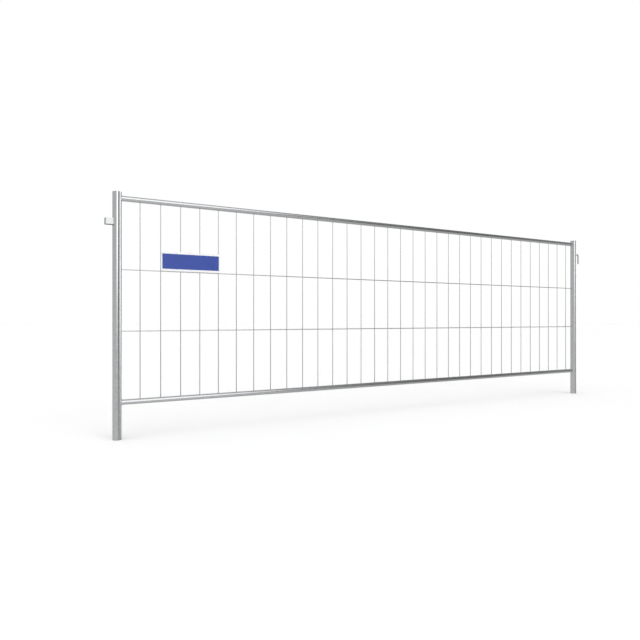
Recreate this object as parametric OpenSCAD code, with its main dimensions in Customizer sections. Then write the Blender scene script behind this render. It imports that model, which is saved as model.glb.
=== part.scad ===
// Low temporary fence panel: a welded frame of round galvanised tube with a wire mesh,
// a coupling hook on one upright and a coupling eye on the other.
// X runs along the panel towards the hook, Y away from the front, Z up.
// The origin is on the ground, midway between the two uprights.

/* [Frame] */
// Distance between the axes of the two uprights
panel_w = 3400; // [2200:10:3600]
// Length of an upright, from the ground to its top end
panel_h = 1200; // [900:10:2000]
// Height of the bottom rail's axis above the ground
bottom_rail_z = 180; // [100:5:260]
// Distance from the top rail's axis up to the top end of the uprights
top_rail_drop = 30; // [20:1:60]
// Outer diameter of an upright
upright_d = 42.4; // [38:0.1:60]
// Wall of an upright
upright_wall = 2; // [1.5:0.1:4]
// Chamfer round the outside of an upright's two ends
end_chamfer = 0.8; // [0.3:0.1:1.2]
// Outer diameter of a rail
rail_d = 26.9; // [20:0.1:32]
// Wall of a rail
rail_wall = 1.5; // [1:0.1:3]

/* [Mesh] */
// Diameter of an upright mesh wire
wire_d = 4; // [3:0.1:6]
// Spacing of the upright mesh wires
wire_pitch = 100; // [90:1:150]
// Distance from the eye upright's axis to the first mesh wire
first_wire = 108; // [60:1:120]
// Least distance from the hook upright's axis to the last mesh wire
last_wire_room = 60; // [40:1:90]
// Length of wire inside the rail, past the pierced wall
wire_plug = 6; // [2:0.5:10]
// Diameter of a cross wire
cross_wire_d = 5; // [3:0.1:7]
// Height between the two cross wires, which lie evenly between the rails
cross_wire_gap = 300; // [150:5:600]

/* [Coupling] */
// Diameter of the hook's round bar
hook_d = 12; // [8:0.5:16]
// Clear gap between the upright and the hook's shank
hook_gap = 31; // [26:0.5:45]
// Bend radius of the hook, at the middle of the bar
hook_bend = 15; // [12:0.5:22]
// Distance from the top of the upright down to the hook's level bar
hook_drop = 108; // [80:1:200]
// Length of the hook's shank below the bend
hook_shank = 56; // [40:1:100]
// Chamfer on the hook's tip
hook_chamfer = 2; // [0.5:0.1:3]
// Height of the eye's strap
eye_h = 30; // [20:1:50]
// Thickness of the eye's strap
eye_t = 4; // [3:0.1:6]
// Rounding of the strap's edges
eye_edge = 0.8; // [0.3:0.1:1.4]
// Inside radius of the strap's two bends
eye_bend = 3; // [2:0.5:6]
// Clear length inside the eye, from the upright to the strap's end
eye_room = 32; // [26:0.5:50]
// Distance from the top of the upright down to the middle of the eye
eye_drop = 146; // [110:1:260]

/* [Sign] */
// Width of the sign plate
sign_w = 306; // [200:1:400]
// Height of the sign plate
sign_h = 98; // [60:1:140]
// Thickness of the sign plate
sign_t = 2.4; // [1.5:0.1:4]
// Corner radius of the sign plate
sign_corner = 5; // [2:0.5:12]
// Width of the plain border at each end of the coloured field
sign_border = 6; // [4:0.5:12]
// Height of the plain border above and below the coloured field
sign_band = 10.5; // [4:0.5:20]
// Thickness of the coloured field, which lies in a recess of the plate
face_t = 0.8; // [0.4:0.1:1.2]
// Number of the first mesh wire that the sign is clipped to
sign_wire = 3; // [2:1:8]
// Shift of the sign from the middle of its two wires
sign_shift = 4; // [-20:1:20]
// Height from the upper cross wire's axis to the sign's lower edge
sign_rise = 2; // [1:0.5:100]
// Height of one clip on the back of the sign
clip_h = 14; // [8:1:20]
// Wall of a clip round its wire
clip_wall = 1.8; // [1.2:0.1:3]
// Thickness of a clip between its wire and the plate
clip_floor = 0.6; // [0.4:0.1:2]
// How much narrower than its wire the mouth of a clip is, on each side
clip_snap = 0.4; // [0.2:0.1:0.6]
// Distance from the sign's upper or lower edge to the nearest clip
clip_inset = 10; // [6:1:20]

/* [Welds] */
// Leg length of the fillet welds on the rails
rail_weld = 2.2; // [1.5:0.1:5]
// Leg length of the fillet welds on the hook and the eye
coupling_weld = 3.5; // [2:0.1:5]
// Leg length of the ring welds on the wires
wire_weld = 1.5; // [0.8:0.1:2.5]
// Diameter of the spot welds where two mesh wires cross
mesh_weld = 2.8; // [2:0.1:2.9]

/* [Fits] */
// Root gap between a tube or bar end and the upright that it is welded to
root_gap = 0.1; // [0.05:0.05:0.3]
// Gap between a weld bead and the surfaces that it lies on
weld_seat = 0.1; // [0.08:0.01:0.2]
// Radial clearance of a wire in its pierced hole
hole_play = 0.2; // [0.1:0.05:0.4]
// Gap between crossing mesh wires, and between a wire's end and an upright's bore
wire_gap = 0.1; // [0.05:0.05:0.3]
// Play across the eye for the neighbour's hook
eye_play = 10; // [6:0.5:16]
// Gap between the sign and the mesh wires, and round and behind the coloured field
sign_play = 0.2; // [0.1:0.05:0.4]

/* [Hidden] */
$fn = 96;
// How far a cut runs past the surface that it opens
cut_over = 1;
// Steps round a tube where a small weld is cut to lie on it
seat_steps = 240;
steel = [0.72, 0.74, 0.76];
weld_grey = [0.6, 0.61, 0.62];
sign_white = [0.93, 0.94, 0.95];
sign_blue = [0.13, 0.17, 0.5];

upright_r = upright_d / 2;
upright_bore_r = upright_r - upright_wall;
rail_r = rail_d / 2;
rail_bore_r = rail_r - rail_wall;
wire_r = wire_d / 2;
cross_wire_r = cross_wire_d / 2;
hook_r = hook_d / 2;

left_x = -panel_w / 2;
right_x = panel_w / 2;
top_rail_z = panel_h - top_rail_drop;
mesh_mid_z = (top_rail_z + bottom_rail_z) / 2;
upper_cross_z = mesh_mid_z + cross_wire_gap / 2;
lower_cross_z = mesh_mid_z - cross_wire_gap / 2;
// The cross wires run behind the upright wires
cross_wire_y = wire_r + wire_gap + cross_wire_r;

wire_count = floor((panel_w - first_wire - last_wire_room) / wire_pitch) + 1;
wire_bottom_z = bottom_rail_z + rail_bore_r - wire_plug;
wire_top_z = top_rail_z - rail_bore_r + wire_plug;

hook_z = panel_h - hook_drop;
hook_x = upright_r + hook_gap + hook_r;
eye_z = panel_h - eye_drop;
// Half of the eye's width, inside the strap, at its middle and outside
eye_inner_y = (hook_d + eye_play) / 2;
eye_mid_y = eye_inner_y + eye_t / 2;
eye_outer_y = eye_inner_y + eye_t;
// Centre of a bend from the upright's axis, and the bend's radius at the middle of the strap
eye_bend_x = upright_r + eye_room - eye_bend;
eye_bend_y = eye_inner_y - eye_bend;
eye_bend_r = eye_bend + eye_t / 2;

clip_r = wire_r + sign_play;
sign_back_y = -clip_r - clip_floor;
// Plate left behind the recess of the coloured field
sign_web = sign_t - face_t - sign_play;
sign_front_y = sign_back_y - sign_t;
sign_x = (wire_x(sign_wire) + wire_x(sign_wire + 1)) / 2 + sign_shift;
sign_bottom_z = upper_cross_z + sign_rise;
sign_mid_z = sign_bottom_z + sign_h / 2;

// Steps round a rail weld, round the smaller hook weld, and across the face of both
rail_weld_steps = 48;
hook_weld_steps = 36;
weld_face_steps = 4;
// Bulge of a fillet weld's face, as a share of the weld's depth
weld_crown = 0.5;
// Largest leg of a fillet weld, as a share of the tube left beside the bar
weld_room = 0.8;

function wire_x(i) = left_x + first_wire + (i - 1) * wire_pitch;
function wire_name(i) = str("vertical_wire_", i < 10 ? "0" : "", i);

// Shared shapes

// Bar along X, from x = 0
module bar_x(r, length) {
    rotate([0, 90, 0])
        cylinder(r = r, h = length);
}

// Round bar along Z, from z = 0, with both ends chamfered
module chamfered_bar(r, length, chamfer) {
    cylinder(r1 = r - chamfer, r2 = r, h = chamfer);
    translate([0, 0, chamfer])
        cylinder(r = r, h = length - 2 * chamfer);
    translate([0, 0, length - chamfer])
        cylinder(r1 = r, r2 = r - chamfer, h = chamfer);
}

// Flat outline with round corners
module rounded_outline(w, h, r) {
    square([w - 2 * r, h], center = true);
    square([w, h - 2 * r], center = true);
    for (sx = [-1, 1])
        for (sy = [-1, 1])
            translate([sx * (w / 2 - r), sy * (h / 2 - r)])
                circle(r);
}

// Distance along X from the axis of an upright tube of radius r to its surface, y off the middle
function saddle_x(r, y) = sqrt(r * r - y * y);

// Point on a quadratic curve from a to c, drawn towards b
function curve_point(a, b, c, t) = (1 - t) * (1 - t) * a + 2 * t * (1 - t) * b + t * t * c;

// One section of a fillet weld, at an angle round a bar of radius bar_r that runs along X
// into an upright tube of radius tube_r
function weld_section(tube_r, bar_r, leg, angle) =
    let (
        way = [cos(angle), sin(angle)],
        at_bar = bar_r * way,
        half_way = (bar_r + leg / 2) * way,
        at_toe = (bar_r + leg) * way,
        root = [saddle_x(tube_r, at_bar.x), at_bar.x, at_bar.y],
        on_tube = [saddle_x(tube_r, half_way.x), half_way.x, half_way.y],
        tube_toe = [saddle_x(tube_r, at_toe.x), at_toe.x, at_toe.y],
        bar_toe = root + [leg, 0, 0],
        face_middle = (bar_toe + tube_toe) / 2,
        crown = face_middle + weld_crown * (face_middle - root),
        face = [
            for (k = [0:weld_face_steps]) curve_point(bar_toe, crown, tube_toe, k / weld_face_steps)
        ]
    )
    concat([root], face, [on_tube]);

// Fillet weld round a bar or rail of radius bar_r on an upright tube of radius tube_r.
// The leg stays on the tube where the bar is nearly as wide as the tube.
module saddle_weld(tube_r, bar_r, leg, steps) {
    seat_tube = tube_r + weld_seat;
    seat_bar = bar_r + weld_seat;
    fitted_leg = min(leg, (seat_tube - seat_bar) * weld_room);
    sections = [
        for (i = [0:steps - 1]) weld_section(seat_tube, seat_bar, fitted_leg, i * 360 / steps)
    ];
    n = len(sections[0]);
    points = [for (s = sections) each s];
    faces = [
        for (i = [0:steps - 1])
            for (j = [0:n - 1])
                let (
                    a = i * n + j,
                    b = i * n + (j + 1) % n,
                    c = (i + 1) % steps * n + (j + 1) % n,
                    d = (i + 1) % steps * n + j
                )
                each [[a, b, c], [a, c, d]]
    ];
    polyhedron(points, faces);
}

// Ring weld round a wire of radius r that leaves a tube upwards; the tube's surface is at z = 0,
// and depth is how far the ring reaches down beside the tube
module wire_ring(r, depth) {
    difference() {
        translate([0, 0, -depth])
            cylinder(r1 = r + wire_weld + depth, r2 = r, h = wire_weld + depth);
        translate([0, 0, -depth - cut_over])
            cylinder(r = r + weld_seat, h = wire_weld + depth + 2 * cut_over);
    }
}

// Frame

module upright(x, inward) {
    color(steel)
        translate([x, 0, 0])
            difference() {
                chamfered_bar(upright_r, panel_h, end_chamfer);
                translate([0, 0, -cut_over])
                    cylinder(r = upright_bore_r, h = panel_h + 2 * cut_over);
                for (z = [lower_cross_z, upper_cross_z])
                    translate([0, cross_wire_y, z])
                        rotate([0, 0, inward > 0 ? 0 : 180])
                            bar_x(cross_wire_r + hole_play, upright_r + cut_over);
            }
}

// Rail with fitted ends and a row of pierced holes; holes_up is 1 where the wires come from above
module rail(z, holes_up) {
    color(steel)
        difference() {
            translate([left_x, 0, z])
                bar_x(rail_r, panel_w);
            translate([left_x - cut_over, 0, z])
                bar_x(rail_bore_r, panel_w + 2 * cut_over);
            for (x = [left_x, right_x])
                translate([x, 0, z - rail_d])
                    cylinder(r = upright_r + root_gap, h = 2 * rail_d);
            for (i = [1:wire_count])
                translate([wire_x(i), 0, z])
                    rotate([holes_up > 0 ? 0 : 180, 0, 0])
                        cylinder(r = wire_r + hole_play, h = rail_d);
        }
}

// Mesh

module vertical_wire(i) {
    color(steel)
        translate([wire_x(i), 0, wire_bottom_z])
            cylinder(r = wire_r, h = wire_top_z - wire_bottom_z);
}

module cross_wire(z) {
    color(steel)
        translate([left_x + upright_bore_r + wire_gap, cross_wire_y, z])
            bar_x(cross_wire_r, panel_w - 2 * (upright_bore_r + wire_gap));
}

// Coupling

module coupling_hook() {
    color(steel)
        translate([right_x, 0, hook_z]) {
            difference() {
                bar_x(hook_r, hook_x - hook_bend);
                translate([0, 0, -hook_d])
                    cylinder(r = upright_r + root_gap, h = 2 * hook_d);
            }
            translate([hook_x - hook_bend, 0, -hook_bend])
                rotate([90, 0, 0])
                    rotate_extrude(angle = 90)
                        translate([hook_bend, 0])
                            circle(hook_r);
            translate([hook_x, 0, -hook_bend - hook_shank + hook_chamfer])
                cylinder(r = hook_r, h = hook_shank - hook_chamfer);
            translate([hook_x, 0, -hook_bend - hook_shank])
                cylinder(r1 = hook_r - hook_chamfer, r2 = hook_r, h = hook_chamfer);
        }
}

// The eye's strap, bent twice to a U and cut to lie on the upright
module coupling_eye() {
    color(steel)
        translate([left_x, 0, eye_z])
            rotate([0, 0, 180])
                difference() {
                    translate([eye_bend_x, 0, 0]) {
                        for (side = [-1, 1]) {
                            translate([0, side * eye_bend_y, 0])
                                rotate([0, 0, side > 0 ? 0 : -90])
                                    rotate_extrude(angle = 90)
                                        translate([eye_bend_r, 0])
                                            rounded_outline(eye_t, eye_h, eye_edge);
                            translate([0, side * eye_mid_y, 0])
                                rotate([0, -90, 0])
                                    linear_extrude(eye_bend_x)
                                        rounded_outline(eye_h, eye_t, eye_edge);
                        }
                        translate([eye_bend_r, eye_bend_y, 0])
                            rotate([90, 0, 0])
                                linear_extrude(2 * eye_bend_y)
                                    rounded_outline(eye_t, eye_h, eye_edge);
                    }
                    translate([0, 0, -eye_h])
                        cylinder(r = upright_r + root_gap, h = 2 * eye_h);
                }
}

// Welds

module rail_end_weld(x, z) {
    color(weld_grey)
        translate([x, 0, z])
            rotate([0, 0, x < 0 ? 0 : 180])
                saddle_weld(upright_r, rail_r, rail_weld, rail_weld_steps);
}

module hook_weld() {
    color(weld_grey)
        translate([right_x, 0, hook_z])
            saddle_weld(upright_r, hook_r, coupling_weld, hook_weld_steps);
}

// A bead along the outside of each leg of the eye
module eye_welds() {
    corner_x = saddle_x(upright_r, eye_outer_y);
    bead_h = eye_h - 2 * eye_edge;
    color(weld_grey)
        translate([left_x, 0, eye_z - bead_h / 2])
            rotate([0, 0, 180])
                for (side = [-1, 1])
                    linear_extrude(bead_h)
                        difference() {
                            translate([corner_x, side * eye_outer_y])
                                circle(coupling_weld);
                            translate([0, -eye_outer_y - weld_seat])
                                square([eye_bend_x, 2 * (eye_outer_y + weld_seat)]);
                            circle(upright_r + weld_seat);
                        }
}

// Rings round the wires at a rail; the rings lie above the rail where holes_up is 1
module rail_wire_welds(z, holes_up) {
    reach = wire_r + 2 * wire_weld;
    depth = rail_r - saddle_x(rail_r, reach);
    color(weld_grey)
        for (i = [1:wire_count])
            difference() {
                translate([wire_x(i), 0, z])
                    rotate([holes_up > 0 ? 0 : 180, 0, 0])
                        translate([0, 0, rail_r])
                            wire_ring(wire_r, depth);
                translate([wire_x(i) - wire_pitch / 4, 0, z])
                    bar_x(rail_r + weld_seat, wire_pitch / 2, $fn = seat_steps);
            }
}

// Rings round the cross wires at the uprights
module cross_wire_welds() {
    reach = cross_wire_y + cross_wire_r + wire_weld;
    surface_x = saddle_x(upright_r, cross_wire_y);
    depth = surface_x - saddle_x(upright_r, reach);
    color(weld_grey)
        for (side = [-1, 1])
            for (z = [lower_cross_z, upper_cross_z])
                difference() {
                    translate([side * (panel_w / 2 - surface_x), cross_wire_y, z])
                        rotate([0, -side * 90, 0])
                            wire_ring(cross_wire_r, depth);
                    translate([side * panel_w / 2, 0, z - upright_r])
                        cylinder(r = upright_r + weld_seat, h = upright_d, $fn = seat_steps);
                }
}

// Spot welds between the upright wires and the two cross wires
module mesh_welds() {
    color(weld_grey)
        for (i = [1:wire_count])
            for (z = [lower_cross_z, upper_cross_z])
                translate([wire_x(i), 0, z])
                    difference() {
                        rotate([-90, 0, 0])
                            cylinder(d = mesh_weld, h = cross_wire_y);
                        translate([0, 0, -wire_d])
                            cylinder(r = wire_r + weld_seat, h = 2 * wire_d, $fn = seat_steps);
                        translate([-cross_wire_d, cross_wire_y, 0])
                            bar_x(cross_wire_r + weld_seat, 2 * cross_wire_d, $fn = seat_steps);
                    }
}

// Sign

// Snap clip for one mesh wire, open towards the back, with its wire at the origin;
// its foot runs into the web of the plate
module wire_clip() {
    clip_w = 2 * (clip_r + clip_wall);
    mouth_w = wire_d - 2 * clip_snap;
    lip_y = saddle_x(clip_r, mouth_w / 2) + clip_snap;
    foot_y = sign_back_y - sign_web / 2;
    linear_extrude(clip_h)
        difference() {
            translate([-clip_w / 2, foot_y])
                square([clip_w, lip_y - foot_y]);
            circle(clip_r);
            translate([-mouth_w / 2, 0])
                square([mouth_w, lip_y + cut_over]);
        }
}

module sign_plate() {
    color(sign_white) {
        difference() {
            translate([sign_x, sign_back_y, sign_mid_z])
                rotate([90, 0, 0])
                    linear_extrude(sign_t)
                        rounded_outline(sign_w, sign_h, sign_corner);
            translate([sign_x, sign_front_y + face_t + sign_play, sign_mid_z])
                rotate([90, 0, 0])
                    linear_extrude(sign_t)
                        square([sign_w - 2 * sign_border, sign_h - 2 * sign_band], center = true);
        }
        for (i = [sign_wire, sign_wire + 1])
            for (z = [sign_bottom_z + clip_inset, sign_bottom_z + sign_h - clip_inset - clip_h])
                translate([wire_x(i), 0, z])
                    wire_clip();
    }
}

module sign_face() {
    color(sign_blue)
        translate([sign_x, sign_front_y + face_t, sign_mid_z])
            rotate([90, 0, 0])
                linear_extrude(face_t)
                    square([
                        sign_w - 2 * (sign_border + sign_play),
                        sign_h - 2 * (sign_band + sign_play)
                    ], center = true);
}

// Assembly

upright(left_x, 1);  // left_upright
upright(right_x, -1);  // right_upright
rail(top_rail_z, -1);  // top_rail
rail(bottom_rail_z, 1);  // bottom_rail
for (i = [1:wire_count])
    vertical_wire(i);
cross_wire(upper_cross_z);  // upper_cross_wire
cross_wire(lower_cross_z);  // lower_cross_wire
coupling_hook();
coupling_eye();
sign_plate();
sign_face();
rail_end_weld(left_x, top_rail_z);  // top_left_weld
rail_end_weld(right_x, top_rail_z);  // top_right_weld
rail_end_weld(left_x, bottom_rail_z);  // bottom_left_weld
rail_end_weld(right_x, bottom_rail_z);  // bottom_right_weld
hook_weld();
eye_welds();
rail_wire_welds(top_rail_z, -1);  // top_wire_welds
rail_wire_welds(bottom_rail_z, 1);  // bottom_wire_welds
cross_wire_welds();
mesh_welds();
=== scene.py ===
"""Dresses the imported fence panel: zinc finishes, rippled weld beads, sign finishes, studio and camera."""
import math
import random

import bpy
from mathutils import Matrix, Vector


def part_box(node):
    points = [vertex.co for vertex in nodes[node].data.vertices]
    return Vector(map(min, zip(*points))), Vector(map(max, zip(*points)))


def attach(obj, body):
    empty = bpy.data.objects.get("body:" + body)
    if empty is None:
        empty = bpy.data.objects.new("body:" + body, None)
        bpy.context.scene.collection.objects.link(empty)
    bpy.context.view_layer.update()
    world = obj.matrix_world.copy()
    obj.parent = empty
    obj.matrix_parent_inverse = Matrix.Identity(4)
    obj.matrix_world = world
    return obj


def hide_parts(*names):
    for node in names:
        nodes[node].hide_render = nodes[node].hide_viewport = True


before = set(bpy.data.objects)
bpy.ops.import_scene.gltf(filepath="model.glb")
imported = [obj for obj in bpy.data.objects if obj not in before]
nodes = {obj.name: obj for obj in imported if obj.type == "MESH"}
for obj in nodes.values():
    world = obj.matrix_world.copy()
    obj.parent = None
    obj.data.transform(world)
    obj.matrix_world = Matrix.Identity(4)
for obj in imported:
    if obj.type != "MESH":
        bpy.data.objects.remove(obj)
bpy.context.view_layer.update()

scene = bpy.context.scene
BODY = "root"
MM = 0.001

# Sizes read from the frame, in metres


def middle(node):
    """Middle of a CAD node's box."""
    low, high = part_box(node)
    return (low + high) / 2


def size(node):
    """Size of a CAD node's box."""
    low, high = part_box(node)
    return high - low


UPRIGHT_R = size("left_upright").x / 2
UPRIGHT_X = middle("right_upright").x
RAIL_R = size("top_rail").z / 2
TOP_RAIL_Z = middle("top_rail").z
BOTTOM_RAIL_Z = middle("bottom_rail").z
WIRES = sorted(name for name in nodes if name.startswith("vertical_wire_"))
CROSS_WIRES = ["lower_cross_wire", "upper_cross_wire"]
WIRE_R = size(WIRES[0]).x / 2
CROSS_WIRE_R = size(CROSS_WIRES[0]).z / 2
CROSS_WIRE_Y = middle(CROSS_WIRES[0]).y
HOOK_R = size("coupling_hook").y / 2
HOOK_Z = middle("hook_weld").z
EYE_OUTER_R = size("coupling_eye").y / 2
RAIL_LEG = size("top_left_weld").z / 2 - RAIL_R
HOOK_LEG = size("hook_weld").z / 2 - HOOK_R
EYE_LEG = HOOK_LEG
WIRE_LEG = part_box("bottom_wire_welds")[1].z - BOTTOM_RAIL_Z - RAIL_R

# Weld beads: spacing and height of the ripples, their height at a bead's toes as a share of that, how far
# they bow along the bead in radians, and the exponent that rounds their crests
RIPPLE_PITCH = 1.8 * MM
RIPPLE_HEIGHT = 0.24 * MM
TOE_RIPPLE = 0.25
RIPPLE_BOW = 2.2
CREST_POWER = 0.7
STEPS_PER_RIPPLE = 8
FACE_STEPS = 8
# Depth of a bead in the metal under it, and how far its face crowns out as a share of its depth
SUNK = 0.3 * MM
FACE_LIFT = 0.3
# A bead's leg beside the CAD weld's: its mean share, and how much it wanders round a tube and along the eye
LEG_SHARE = 0.95
SADDLE_WANDER = 0.07
EYE_WANDER = 0.08
# Lump where a bead round a tube stops: its share of the leg, and its half width in radians
STOP_LUMP = 0.12
STOP_ANGLE = 0.16
# Ends of the eye's beads: the share of the leg that is left, and the exponent of the taper
END_SHARE = 0.2
END_POWER = 8
# Small ring beads round the wires, with the same kinds of values, and the share of the leg where a ring's
# foot goes into the tube
RING_PITCH = 1.4 * MM
RING_HEIGHT = 0.2 * MM
RING_STEPS = 6
RING_FULLNESS = 0.68
RING_LEG_SHARE = 0.9
RING_WANDER = 0.3
RING_FOOT = 0.8
# Spot welds between crossing wires: radius and how much it wanders, half the thickness, and the exponent
# that rounds the rim
SPOT_R = 2.75 * MM
SPOT_WANDER = 0.25 * MM
SPOT_HALF_Y = 1.3 * MM
SPOT_POWER = 0.6
SPOT_RINGS = 7
SPOT_SIDES = 18
# First random seed of each kind of bead
RAIL_SEED, HOOK_SEED, EYE_SEED = 10, 20, 30
RING_SEED, CROSS_RING_SEED, SPOT_SEED = 100, 300, 400


# Shader helpers

# Bends in a zinc crystal's outline for each crystal's width
CRYSTAL_BENDS = 0.6


def add_node(tree, kind, inputs=None, **settings):
    """Adds a shader node; an input that is a socket is linked, any other value is set."""
    node = tree.nodes.new(kind)
    for name, value in settings.items():
        setattr(node, name, value)
    for name, value in (inputs or {}).items():
        if isinstance(value, bpy.types.NodeSocket):
            tree.links.new(value, node.inputs[name])
        else:
            node.inputs[name].default_value = value
    return node


def calc(tree, operation, first, second=0.0):
    """Output of one Math node."""
    return add_node(tree, "ShaderNodeMath", {0: first, 1: second}, operation=operation).outputs[0]


def blend_values(tree, *pairs):
    """Weighted sum of (socket, weight) pairs."""
    total = calc(tree, "MULTIPLY", *pairs[0])
    for socket, weight in pairs[1:]:
        total = calc(tree, "ADD", total, calc(tree, "MULTIPLY", socket, weight))
    return total


def spread(tree, value, low, high, to_low=0.0, to_high=1.0, curve="LINEAR"):
    """Maps a value from low..high to to_low..to_high, clamped."""
    inputs = {"Value": value, "From Min": low, "From Max": high, "To Min": to_low, "To Max": to_high}
    return add_node(tree, "ShaderNodeMapRange", inputs, interpolation_type=curve).outputs["Result"]


def noise(tree, coords, scale, detail=3.0, rough=0.5):
    """Noise value between 0 and 1, with scale in features per metre."""
    inputs = {"Vector": coords, "Scale": scale, "Detail": detail, "Roughness": rough}
    return add_node(tree, "ShaderNodeTexNoise", inputs).outputs["Fac"]


def stretched(tree, coords, scale):
    """Coordinates scaled by a different amount along each axis."""
    return add_node(tree, "ShaderNodeMapping", {"Vector": coords, "Scale": scale}).outputs["Vector"]


def crystals(tree, coords, across):
    """One even random value for each zinc crystal, where across is a crystal's size in metres."""
    bends = {"Vector": coords, "Scale": CRYSTAL_BENDS / across, "Detail": 1.0}
    wander = add_node(tree, "ShaderNodeTexNoise", bends).outputs["Color"]
    offset = add_node(
        tree, "ShaderNodeVectorMath", {0: wander, "Scale": across}, operation="SCALE"
    ).outputs[0]
    bent = add_node(tree, "ShaderNodeVectorMath", {0: coords, 1: offset}, operation="ADD").outputs[0]
    cell = add_node(tree, "ShaderNodeTexVoronoi", {"Vector": bent, "Scale": 1 / across})
    return add_node(tree, "ShaderNodeSeparateColor", {"Color": cell.outputs["Color"]}).outputs[0]


def two_tone(tree, value, dark, light):
    """Colour between dark at 0 and light at 1."""
    ramp = add_node(tree, "ShaderNodeValToRGB", {"Fac": value})
    ramp.color_ramp.elements[0].color = (*dark, 1)
    ramp.color_ramp.elements[1].color = (*light, 1)
    return ramp.outputs["Color"]


def new_material(name):
    """A material, its node tree, its surface shader and its object coordinates, in metres in the frame."""
    material = bpy.data.materials.new(name)
    material.use_nodes = True
    tree = material.node_tree
    shader = tree.nodes["Principled BSDF"]
    coords = tree.nodes.new("ShaderNodeTexCoord").outputs["Object"]
    return material, tree, shader, coords


def set_surface(tree, shader, colour, rough, metallic):
    """Gives the shader its colour, its roughness and how metallic it is."""
    tree.links.new(colour, shader.inputs["Base Color"])
    tree.links.new(rough, shader.inputs["Roughness"])
    shader.inputs["Metallic"].default_value = metallic


def set_bump(tree, shader, height, strength, distance):
    """Gives the shader a bump from a height value."""
    inputs = {"Height": height, "Strength": strength, "Distance": distance}
    bump = add_node(tree, "ShaderNodeBump", inputs)
    tree.links.new(bump.outputs["Normal"], shader.inputs["Normal"])


# Materials

# Dark and light colour of each, in linear light
ZINC_TONES = (0.59, 0.6, 0.61), (0.66, 0.67, 0.68)
# The wires' dark colour is painted shade near the bottom rail
WIRE_SHADED_TO_LIT_TONES = (0.3, 0.305, 0.31), (0.635, 0.645, 0.655)
WELD_TONES = (0.5, 0.51, 0.52), (0.66, 0.67, 0.68)
PLASTIC_TONES = (0.66, 0.67, 0.68), (0.73, 0.74, 0.75)
FILM_TONES = (0.015, 0.045, 0.245), (0.021, 0.053, 0.297)
# Lowest and highest roughness of each
TUBE_ROUGH = 0.15, 0.22
WIRE_ROUGH = 0.18, 0.27
BAR_ROUGH = 0.28, 0.34
STRAP_ROUGH = 0.28, 0.36
WELD_ROUGH = 0.28, 0.4
PLASTIC_ROUGH = 0.36, 0.48
FILM_ROUGH = 0.29, 0.42
# Spans that hold most values of the zinc's patterns and of plain noise
ZINC_SPAN = 0.25, 0.75
NOISE_SPAN = 0.3, 0.7
# Zinc crystals across on uprights, rails, wires and bars, and the small crystals as a share of the large ones
UPRIGHT_CRYSTAL, RAIL_CRYSTAL, WIRE_CRYSTAL, BAR_CRYSTAL = 11 * MM, 9 * MM, 3 * MM, 6 * MM
SMALL_CRYSTAL = 0.4
# Marks per metre along and across a tube, and along X, Y and Z on wires and bars
ALONG, ACROSS = 9.0, 420.0
WIRE_GRAIN = 300.0, 600.0, 300.0
BAR_GRAIN = 300.0, 300.0, 300.0
# Clouds and pits per metre in the zinc
CLOUDS, PITS = 6.0, 900.0
# How much darker, rougher and higher a tube's seam is, and the share of its width before it fades
SEAM_DARKER, SEAM_ROUGHER, SEAM_HIGHER = 0.16, 0.3, 0.6
SEAM_FLAT = 0.6
# Share of the height in the tone of the wires' zinc: painted shade, darker towards the bottom rail
PAINTED_SHADE_SHARE = 0.8


def seam_mask(tree, coords, across, along_mid, half_span, radius, angle, width):
    """1 on the straight weld seam of a tube, 0 elsewhere.

    across names the two axes round the tube; the first lies half_span to either side of along_mid.
    """
    axes = add_node(tree, "ShaderNodeSeparateXYZ", {"Vector": coords}).outputs
    from_mid = calc(tree, "ABSOLUTE", calc(tree, "SUBTRACT", axes[across[0]], along_mid))
    first = calc(tree, "SUBTRACT", from_mid, half_span)
    turn = calc(tree, "ARCTAN2", axes[across[1]], first)
    off = calc(tree, "MULTIPLY", calc(tree, "ABSOLUTE", calc(tree, "SUBTRACT", turn, angle)), radius)
    return spread(tree, off, width * SEAM_FLAT, width, 1.0, 0.0)


def zinc(name, crystal, grain, tones, rough, seam=None, shade_heights=None):
    """Zinc-coated steel: crystal patches, slow clouding, fine marks along the grain, and a tube's seam.

    Its last argument gives two heights; the zinc gets painted shade, darker towards the lower one.
    """
    material, tree, shader, coords = new_material(name)
    large = crystals(tree, coords, crystal)
    small = crystals(tree, coords, crystal * SMALL_CRYSTAL)
    cloud = noise(tree, coords, CLOUDS)
    marks = noise(tree, stretched(tree, coords, grain), 1.0, detail=2.0)
    pits = noise(tree, coords, PITS, detail=2.0)
    tone = blend_values(tree, (large, 0.34), (small, 0.16), (cloud, 0.3), (marks, 0.2))
    gloss = blend_values(tree, (small, 0.3), (large, 0.25), (cloud, 0.25), (marks, 0.2))
    relief = blend_values(tree, (pits, 0.5), (marks, 0.3), (small, 0.2))
    if seam:
        line = seam_mask(tree, coords, **seam)
        tone = calc(tree, "SUBTRACT", tone, calc(tree, "MULTIPLY", line, SEAM_DARKER))
        gloss = calc(tree, "ADD", gloss, calc(tree, "MULTIPLY", line, SEAM_ROUGHER))
        relief = calc(tree, "ADD", relief, calc(tree, "MULTIPLY", line, SEAM_HIGHER))
    tone = spread(tree, tone, *ZINC_SPAN)
    # Painted shade: the zinc gets darker towards the lower of the two heights
    if shade_heights:
        height = add_node(tree, "ShaderNodeSeparateXYZ", {"Vector": coords}).outputs["Z"]
        tone = blend_values(tree, (tone, 1 - PAINTED_SHADE_SHARE), (spread(tree, height, *shade_heights), PAINTED_SHADE_SHARE))
    colour = two_tone(tree, tone, *tones)
    set_surface(tree, shader, colour, spread(tree, gloss, *ZINC_SPAN, *rough), metallic=1.0)
    set_bump(tree, shader, relief, strength=0.1, distance=0.05 * MM)
    return material


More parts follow.
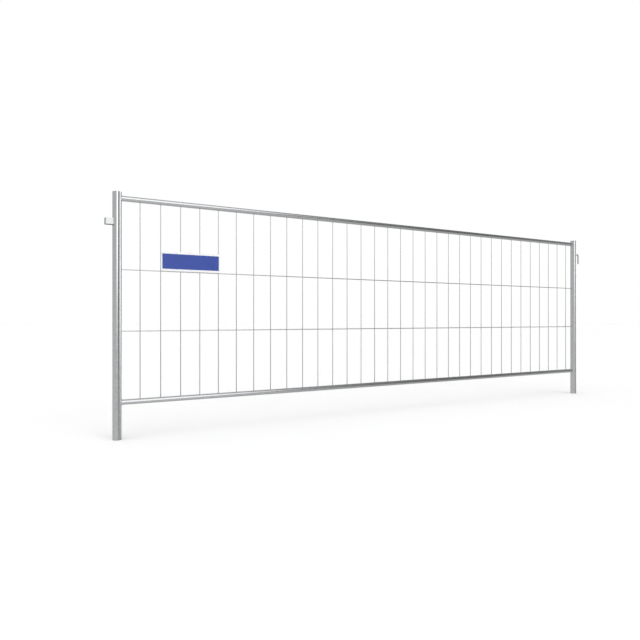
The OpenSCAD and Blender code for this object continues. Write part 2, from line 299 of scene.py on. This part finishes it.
def weld_zinc():
    """Zinc-sprayed weld metal: duller and grainier than the tubes."""
    material, tree, shader, coords = new_material("weld_zinc")
    grain = noise(tree, coords, 1600.0, detail=4.0, rough=0.6)
    patches = noise(tree, coords, 180.0, detail=2.0)
    tone = blend_values(tree, (grain, 0.5), (patches, 0.5))
    colour = two_tone(tree, spread(tree, tone, *NOISE_SPAN), *WELD_TONES)
    set_surface(tree, shader, colour, spread(tree, grain, *NOISE_SPAN, *WELD_ROUGH), metallic=1.0)
    set_bump(tree, shader, grain, strength=0.2, distance=0.08 * MM)
    return material


def sign_plastic():
    """White moulded plastic with a fine grain and a faint greying."""
    material, tree, shader, coords = new_material("sign_plastic")
    grain = noise(tree, coords, 2200.0, detail=2.0)
    haze = noise(tree, coords, 22.0, detail=4.0, rough=0.6)
    colour = two_tone(tree, spread(tree, haze, *NOISE_SPAN), *PLASTIC_TONES)
    set_surface(tree, shader, colour, spread(tree, haze, *NOISE_SPAN, *PLASTIC_ROUGH), metallic=0.0)
    set_bump(tree, shader, grain, strength=0.1, distance=0.1 * MM)
    return material


def sign_film():
    """Blue sign field: smooth plastic with a slight orange peel and faint wiped streaks."""
    material, tree, shader, coords = new_material("sign_film")
    peel = noise(tree, coords, 420.0, detail=2.0)
    wipe = noise(tree, stretched(tree, coords, (14.0, 14.0, 120.0)), 1.0)
    haze = noise(tree, coords, 16.0, detail=4.0, rough=0.6)
    tone = blend_values(tree, (haze, 0.6), (wipe, 0.4))
    colour = two_tone(tree, spread(tree, tone, *NOISE_SPAN), *FILM_TONES)
    set_surface(tree, shader, colour, spread(tree, tone, *NOISE_SPAN, *FILM_ROUGH), metallic=0.0)
    set_bump(tree, shader, peel, strength=0.2, distance=0.1 * MM)
    return material


upright_zinc = zinc(
    "upright_zinc", UPRIGHT_CRYSTAL, (ACROSS, ACROSS, ALONG), ZINC_TONES, TUBE_ROUGH,
    seam={
        "across": ("X", "Y"), "along_mid": 0.0, "half_span": UPRIGHT_X,
        "radius": UPRIGHT_R, "angle": 1.1, "width": 3.5 * MM,
    },
)
rail_zinc = zinc(
    "rail_zinc", RAIL_CRYSTAL, (ALONG, ACROSS, ACROSS), ZINC_TONES, TUBE_ROUGH,
    seam={
        "across": ("Z", "Y"), "along_mid": (TOP_RAIL_Z + BOTTOM_RAIL_Z) / 2,
        "half_span": (TOP_RAIL_Z - BOTTOM_RAIL_Z) / 2,
        "radius": RAIL_R, "angle": 1.9, "width": 3 * MM,
    },
)
# Mesh wires, with painted shade that darkens them towards the bottom rail
wire_zinc_painted_shade = zinc(
    "wire_zinc_painted_shade", WIRE_CRYSTAL, WIRE_GRAIN, WIRE_SHADED_TO_LIT_TONES, WIRE_ROUGH, shade_heights=(BOTTOM_RAIL_Z, TOP_RAIL_Z)
)
cross_zinc = zinc("cross_zinc", WIRE_CRYSTAL, WIRE_GRAIN, ZINC_TONES, WIRE_ROUGH)
bar_zinc = zinc("bar_zinc", BAR_CRYSTAL, BAR_GRAIN, ZINC_TONES, BAR_ROUGH)
strap_zinc = zinc("strap_zinc", BAR_CRYSTAL, BAR_GRAIN, ZINC_TONES, STRAP_ROUGH)
bead_zinc = weld_zinc()
plate_plastic = sign_plastic()
face_film = sign_film()

FINISHES = {
    "left_upright": upright_zinc,
    "right_upright": upright_zinc,
    "top_rail": rail_zinc,
    "bottom_rail": rail_zinc,
    "coupling_hook": bar_zinc,
    "coupling_eye": strap_zinc,
    "sign_plate": plate_plastic,
    "sign_face": face_film,
}
FINISHES.update({name: wire_zinc_painted_shade for name in WIRES})
FINISHES.update({name: cross_zinc for name in CROSS_WIRES})
for name, material in FINISHES.items():
    nodes[name].data.materials.clear()
    nodes[name].data.materials.append(material)


# Weld beads


def waves(rng, count):
    """A smooth uneven function of an angle, about -1 to 1, from a seeded generator."""
    terms = [(k, rng.uniform(0, 2 * math.pi), rng.uniform(0.5, 1) / count) for k in range(1, count + 1)]
    return lambda angle: sum(share * math.sin(k * angle + start) for k, start, share in terms)


def ripple(phase):
    """Height of a weld bead's ripples, 0 in a groove and 1 on a crest."""
    return abs(math.sin(phase / 2)) ** CREST_POWER


def bead_face(bar_toe, tube_toe, root, phase):
    """Points of a bead's rippled face from one toe to the other; the ripples bow along the bead."""
    mid = (bar_toe + tube_toe) / 2
    out = (mid - root).normalized()
    crown = mid + (mid - root) * FACE_LIFT
    points = []
    for k in range(FACE_STEPS + 1):
        t = k / FACE_STEPS
        on_curve = bar_toe * (1 - t) ** 2 + crown * (2 * t * (1 - t)) + tube_toe * t ** 2
        inner = math.sin(math.pi * t)
        share = TOE_RIPPLE + (1 - TOE_RIPPLE) * inner
        points.append(on_curve + out * (RIPPLE_HEIGHT * share * ripple(phase + RIPPLE_BOW * inner)))
    return points


def sweep(sections, closed):
    """Vertices and quads of a skin over equal closed sections; an open row of sections gets end caps."""
    count = len(sections[0])
    vertices = [point for section in sections for point in section]
    rows = len(sections)
    faces = []
    for i in range(rows if closed else rows - 1):
        here = i * count
        there = (i + 1) % rows * count
        for j in range(count):
            k = (j + 1) % count
            faces.append((here + j, here + k, there + k, there + j))
    if not closed:
        last = (rows - 1) * count
        faces.append(tuple(range(count - 1, -1, -1)))
        faces.append(tuple(range(last, last + count)))
    return vertices, faces


def join_parts(parts):
    """Joins several (vertices, faces) pairs into one."""
    vertices, faces = [], []
    for more_vertices, more_faces in parts:
        start = len(vertices)
        vertices += more_vertices
        faces += [tuple(start + index for index in face) for face in more_faces]
    return vertices, faces


def add_weld(name, parts, node):
    """Makes one mesh piece of weld metal that stands for a CAD weld node."""
    vertices, faces = join_parts(parts)
    mesh = bpy.data.meshes.new(name)
    mesh.from_pydata(vertices, [], faces)
    mesh.validate()
    mesh.shade_smooth()
    mesh.materials.append(bead_zinc)
    piece = bpy.data.objects.new(name, mesh)
    scene.collection.objects.link(piece)
    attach(piece, BODY)
    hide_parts(node)


def saddle_bead(axis_x, bar_z, inward, bar_r, leg, seed):
    """Bead round a bar of radius bar_r that runs into an upright; inward is the bar's way along X."""
    rng = random.Random(seed)
    uneven = waves(rng, 5)
    stop = rng.uniform(0, 2 * math.pi)
    ripples = round(2 * math.pi * (bar_r + leg / 2) / RIPPLE_PITCH)
    steps = ripples * STEPS_PER_RIPPLE

    def on_tube(radius, angle, tube_r):
        y, z = radius * math.cos(angle), radius * math.sin(angle)
        return Vector((axis_x + inward * math.sqrt(tube_r ** 2 - y ** 2), y, bar_z + z))

    sections = []
    for i in range(steps):
        angle = inward * 2 * math.pi * i / steps
        from_stop = math.remainder(angle - stop, 2 * math.pi)
        lump = STOP_LUMP * math.exp(-(from_stop / STOP_ANGLE) ** 2)
        here = leg * (LEG_SHARE + SADDLE_WANDER * uneven(angle) + lump)
        root = on_tube(bar_r, angle, UPRIGHT_R)
        bar_toe = root + Vector((inward * here, 0, 0))
        tube_toe = on_tube(bar_r + here, angle, UPRIGHT_R)
        under_tube = on_tube(bar_r + here - SUNK, angle, UPRIGHT_R - SUNK)
        under_bar = on_tube(bar_r - SUNK, angle, UPRIGHT_R - SUNK)
        under_toe = on_tube(bar_r - SUNK, angle, UPRIGHT_R) + Vector((inward * (here - SUNK), 0, 0))
        face = bead_face(bar_toe, tube_toe, root, ripples * (angle - stop))
        sections.append([*face, under_tube, under_bar, under_toe])
    return sweep(sections, closed=True)


def eye_bead(side, seed):
    """Bead along the outside of one leg of the eye, from its lower to its upper edge."""
    rng = random.Random(seed)
    uneven = waves(rng, 5)
    low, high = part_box("eye_welds")
    axis_x = -UPRIGHT_X
    length = high.z - low.z
    ripples = round(length / RIPPLE_PITCH)
    steps = ripples * STEPS_PER_RIPPLE
    corner_turn = math.asin(EYE_OUTER_R / UPRIGHT_R)

    def on_tube(turn, tube_r, z):
        return Vector((axis_x - tube_r * math.cos(turn), side * tube_r * math.sin(turn), z))

    sections = []
    for i in range(steps + 1):
        along = i / steps
        taper = math.sqrt(max(END_SHARE ** 2, 1 - (2 * along - 1) ** END_POWER))
        here = EYE_LEG * taper * (LEG_SHARE + EYE_WANDER * uneven(2 * math.pi * along))
        z = low.z + length * along
        root = on_tube(corner_turn, UPRIGHT_R, z)
        strap_toe = root + Vector((-here, 0, 0))
        tube_toe = on_tube(corner_turn + here / UPRIGHT_R, UPRIGHT_R, z)
        under_tube = on_tube(corner_turn + (here - SUNK) / UPRIGHT_R, UPRIGHT_R - SUNK, z)
        under_root = root + Vector((SUNK, -side * SUNK, 0))
        under_strap = strap_toe + Vector((SUNK, -side * SUNK, 0))
        face = bead_face(strap_toe, tube_toe, root, ripples * 2 * math.pi * along)
        sections.append([*face, under_tube, under_root, under_strap])
    return sweep(sections, closed=False)


def ring_bead(centre, along, up, tube_r, off, wire_r, seed):
    """Small rippled bead round a wire that enters a tube.

    centre is on the tube's axis, along points along that axis, up along the wire out of the tube,
    and off is how far the wire passes to one side of the axis.
    """
    rng = random.Random(seed)
    uneven = waves(rng, 4)
    start = rng.uniform(0, 2 * math.pi)
    side = up.cross(along)
    ripples = round(2 * math.pi * (wire_r + WIRE_LEG / 2) / RING_PITCH)
    steps = ripples * RING_STEPS

    def point(radius, angle, rise, sink=0.0):
        across = off + radius * math.sin(angle)
        height = math.sqrt((tube_r - sink) ** 2 - across ** 2) + rise
        return centre + along * (radius * math.cos(angle)) + side * across + up * height

    sections = []
    for i in range(steps):
        angle = 2 * math.pi * i / steps
        leg = WIRE_LEG * (RING_LEG_SHARE + RING_WANDER * uneven(angle))
        face = []
        for k in range(RING_STEPS + 1):
            t = k / RING_STEPS
            inner = math.sin(math.pi * t)
            swell = leg * RING_FULLNESS * 2 * t * (1 - t)
            swell += RING_HEIGHT * inner * ripple(ripples * angle + start)
            face.append(point(wire_r + leg * t ** 2 + swell, angle, leg * (1 - t) ** 2 + swell))
        under_toe = point(wire_r + leg * RING_FOOT, angle, 0.0, SUNK)
        under_wire = point(wire_r - SUNK, angle, 0.0, SUNK)
        sections.append([*face, under_toe, under_wire])
    return sweep(sections, closed=True)


def cross_bead(x, z, seed):
    """Squeezed-out metal between two crossing mesh wires."""
    rng = random.Random(seed)
    uneven = waves(rng, 4)
    mid_y = WIRE_R + (CROSS_WIRE_Y - CROSS_WIRE_R - WIRE_R) / 2
    vertices, faces = [], []
    for ring in range(1, SPOT_RINGS):
        tilt = math.pi * ring / SPOT_RINGS
        y = mid_y - SPOT_HALF_Y * math.cos(tilt)
        for side in range(SPOT_SIDES):
            angle = 2 * math.pi * side / SPOT_SIDES
            reach = (SPOT_R + SPOT_WANDER * uneven(angle)) * math.sin(tilt) ** SPOT_POWER
            vertices.append(Vector((x + reach * math.cos(angle), y, z + reach * math.sin(angle))))
    for ring in range(SPOT_RINGS - 2):
        for side in range(SPOT_SIDES):
            here = ring * SPOT_SIDES + side
            beside = ring * SPOT_SIDES + (side + 1) % SPOT_SIDES
            faces.append((here, here + SPOT_SIDES, beside + SPOT_SIDES, beside))
    faces.append(tuple(range(SPOT_SIDES)))
    last = (SPOT_RINGS - 2) * SPOT_SIDES
    faces.append(tuple(range(last + SPOT_SIDES - 1, last - 1, -1)))
    return vertices, faces


X_WAY, Z_WAY = Vector((1, 0, 0)), Vector((0, 0, 1))
RAIL_ENDS = [
    ("top_left", -1, TOP_RAIL_Z), ("top_right", 1, TOP_RAIL_Z),
    ("bottom_left", -1, BOTTOM_RAIL_Z), ("bottom_right", 1, BOTTOM_RAIL_Z),
]
for number, (place, side, z) in enumerate(RAIL_ENDS):
    bead = saddle_bead(side * UPRIGHT_X, z, -side, RAIL_R, RAIL_LEG, RAIL_SEED + number)
    add_weld(f"{place}_bead", [bead], f"{place}_weld")
add_weld("hook_bead", [saddle_bead(UPRIGHT_X, HOOK_Z, 1, HOOK_R, HOOK_LEG, HOOK_SEED)], "hook_weld")
add_weld("eye_beads", [eye_bead(side, EYE_SEED + side) for side in (-1, 1)], "eye_welds")

wire_places = [middle(name).x for name in WIRES]
for rail, z, up in (("top", TOP_RAIL_Z, -Z_WAY), ("bottom", BOTTOM_RAIL_Z, Z_WAY)):
    first_seed = RING_SEED + round(z / MM)
    rings = [
        ring_bead(Vector((x, 0, z)), X_WAY, up, RAIL_R, 0.0, WIRE_R, first_seed + number)
        for number, x in enumerate(wire_places)
    ]
    add_weld(f"{rail}_wire_beads", rings, f"{rail}_wire_welds")

cross_heights = [middle(name).z for name in CROSS_WIRES]
cross_rings = []
for side in (-1, 1):
    for number, z in enumerate(cross_heights):
        centre = Vector((side * UPRIGHT_X, 0, z))
        up = -side * X_WAY
        off = CROSS_WIRE_Y * up.cross(Z_WAY).y
        seed = CROSS_RING_SEED + number + side
        cross_rings.append(ring_bead(centre, Z_WAY, up, UPRIGHT_R, off, CROSS_WIRE_R, seed))
add_weld("cross_wire_beads", cross_rings, "cross_wire_welds")
spots = [
    cross_bead(x, z, SPOT_SEED + number)
    for z in cross_heights
    for number, x in enumerate(wire_places)
]
add_weld("mesh_beads", spots, "mesh_welds")


# Studio

WHITE = (1, 1, 1, 1)
# Floor: half its side in metres, and its dark and light colour
FLOOR_HALF = 60.0
FLOOR_TONES = (0.9, 0.9, 0.9), (0.93, 0.93, 0.93)
# Soft light from above: the way that it comes from, its strength, and its width in degrees
SUN_FROM = (-3.0, -5.0, 6.0)
SUN_ENERGY = 2.14
SUN_WIDTH = 110
# Camera, as fitted to the photograph: place in metres, turn in degrees, lens in millimetres, and shift
CAMERA_PLACE = (-2.104, -2.767, 0.583)
CAMERA_TURN = -28.88
CAMERA_LENS = 30.43
CAMERA_SHIFT = -0.00117
# Brightness of the room by how far a direction leans towards the hook end, and the height of its horizon
GROUND_FADE, GROUND_LEVELS = (-0.1, 0.6), (0.66, 0.5)
SKY_FADE, SKY_LEVELS = (-0.05, 0.7), (0.62, 0.18)
HORIZON_FADE = (-0.17, 0.1)
END_WALL_FADE, END_WALL_LEVEL = (0.66, 0.84), 0.14
# Light panels, and darker ones with a level below 0: angles in degrees, with the lean in degrees of turn for
# each degree of rise
LIGHT_PANELS = [
    {"turns": (-20, 16), "rises": (3, 24), "lean": 0.45, "turn_soft": 4, "rise_soft": 7, "level": 1.45},
    {"turns": (-20, 16), "rises": (24, 62), "lean": 0.45, "turn_soft": 4, "rise_soft": 7, "level": 0.95},
    {"turns": (65, 92), "rises": (-4, 16), "lean": 0.0, "turn_soft": 3, "rise_soft": 6, "level": 2.0},
    {"turns": (22, 58), "rises": (-7, 16), "lean": 0.0, "turn_soft": 4, "rise_soft": 6, "level": -0.14},
    {"turns": (32, 105), "rises": (-30, 1), "lean": 0.0, "turn_soft": 7, "rise_soft": 6, "level": -0.1},
    {"turns": (-45, 35), "rises": (-62, -16), "lean": 0.0, "turn_soft": 8, "rise_soft": 8, "level": 0.14},
    {"turns": (128, 172), "rises": (25, 65), "lean": 0.0, "turn_soft": 6, "rise_soft": 8, "level": 0.5},
]


def floor_material():
    """Pale matt floor with a very faint mottle."""
    material, tree, shader, coords = new_material("floor_pale")
    mottle = noise(tree, coords, 2.0, detail=4.0)
    tree.links.new(two_tone(tree, mottle, *FLOOR_TONES), shader.inputs["Base Color"])
    shader.inputs["Roughness"].default_value = 0.9
    shader.inputs["Specular IOR Level"].default_value = 0.1
    return material


def add_floor(half):
    """Square floor under the panel; polished metal reflects the room instead of it."""
    mesh = bpy.data.meshes.new("floor")
    corners = [(-half, -half, 0), (half, -half, 0), (half, half, 0), (-half, half, 0)]
    mesh.from_pydata(corners, [], [(0, 1, 2, 3)])
    mesh.materials.append(floor_material())
    floor = bpy.data.objects.new("floor", mesh)
    scene.collection.objects.link(floor)
    floor.visible_glossy = False


def add_sun(location, energy, spread_angle):
    """Very soft light from above that brightens the floor and the sign, and isn't seen in the metal."""
    data = bpy.data.lights.new("overhead", "SUN")
    data.energy = energy
    data.angle = math.radians(spread_angle)
    light = bpy.data.objects.new("overhead", data)
    light.rotation_euler = (-Vector(location)).to_track_quat("-Z", "Y").to_euler()
    light.visible_glossy = False
    scene.collection.objects.link(light)


def between(tree, value, low, high, soft):
    """1 where an angle lies between low and high degrees, 0 outside, with soft edges."""
    low, high, soft = math.radians(low), math.radians(high), math.radians(soft)
    rising = spread(tree, value, low - soft, low + soft, 0.0, 1.0, "SMOOTHSTEP")
    falling = spread(tree, value, high - soft, high + soft, 1.0, 0.0, "SMOOTHSTEP")
    return calc(tree, "MULTIPLY", rising, falling)


def add_room():
    """Grey room with light panels for the reflections; the camera sees plain white behind the fence panel.

    A turn is counted from the front (-Y) towards the hook end (+X), a rise from the horizon upwards.
    """
    world = bpy.data.worlds.new("room")
    scene.world = world
    world.use_nodes = True
    tree = world.node_tree
    way = tree.nodes.new("ShaderNodeTexCoord").outputs["Generated"]
    x, y, z = add_node(tree, "ShaderNodeSeparateXYZ", {"Vector": way}).outputs
    turn = calc(tree, "ARCTAN2", x, calc(tree, "MULTIPLY", y, -1.0))
    rise = calc(tree, "ARCSINE", z)
    ground = spread(tree, x, *GROUND_FADE, *GROUND_LEVELS)
    sky = spread(tree, x, *SKY_FADE, *SKY_LEVELS)
    end_wall = spread(tree, x, *END_WALL_FADE, 0.0, END_WALL_LEVEL, "SMOOTHSTEP")
    above = spread(tree, z, *HORIZON_FADE, 0.0, 1.0, "SMOOTHSTEP")
    below = calc(tree, "SUBTRACT", 1.0, above)
    level = calc(tree, "ADD", calc(tree, "MULTIPLY", sky, above), calc(tree, "MULTIPLY", ground, below))
    level = calc(tree, "ADD", level, end_wall)
    for panel in LIGHT_PANELS:
        leaned = calc(tree, "SUBTRACT", turn, calc(tree, "MULTIPLY", rise, panel["lean"]))
        wide = between(tree, leaned, *panel["turns"], panel["turn_soft"])
        high = between(tree, rise, *panel["rises"], panel["rise_soft"])
        lit = calc(tree, "MULTIPLY", calc(tree, "MULTIPLY", wide, high), panel["level"])
        level = calc(tree, "ADD", level, lit)
    seen = tree.nodes.new("ShaderNodeLightPath").outputs["Is Camera Ray"]
    reflected = add_node(tree, "ShaderNodeBackground", {"Color": WHITE, "Strength": level}).outputs[0]
    backdrop = add_node(tree, "ShaderNodeBackground", {"Color": WHITE}).outputs[0]
    mixed = add_node(tree, "ShaderNodeMixShader", {0: seen, 1: reflected, 2: backdrop}).outputs[0]
    tree.links.new(mixed, tree.nodes["World Output"].inputs["Surface"])


def add_camera(location, turn, lens, shift_up):
    """Level camera, turned about the vertical from looking along +Y."""
    data = bpy.data.cameras.new("camera")
    data.lens = lens
    data.shift_y = shift_up
    camera = bpy.data.objects.new("camera", data)
    camera.location = location
    camera.rotation_euler = (math.radians(90), 0, math.radians(turn))
    scene.collection.objects.link(camera)
    scene.camera = camera


add_floor(FLOOR_HALF)
add_room()
add_sun(SUN_FROM, SUN_ENERGY, SUN_WIDTH)
add_camera(CAMERA_PLACE, CAMERA_TURN, CAMERA_LENS, CAMERA_SHIFT)
scene.view_settings.view_transform = "Standard"
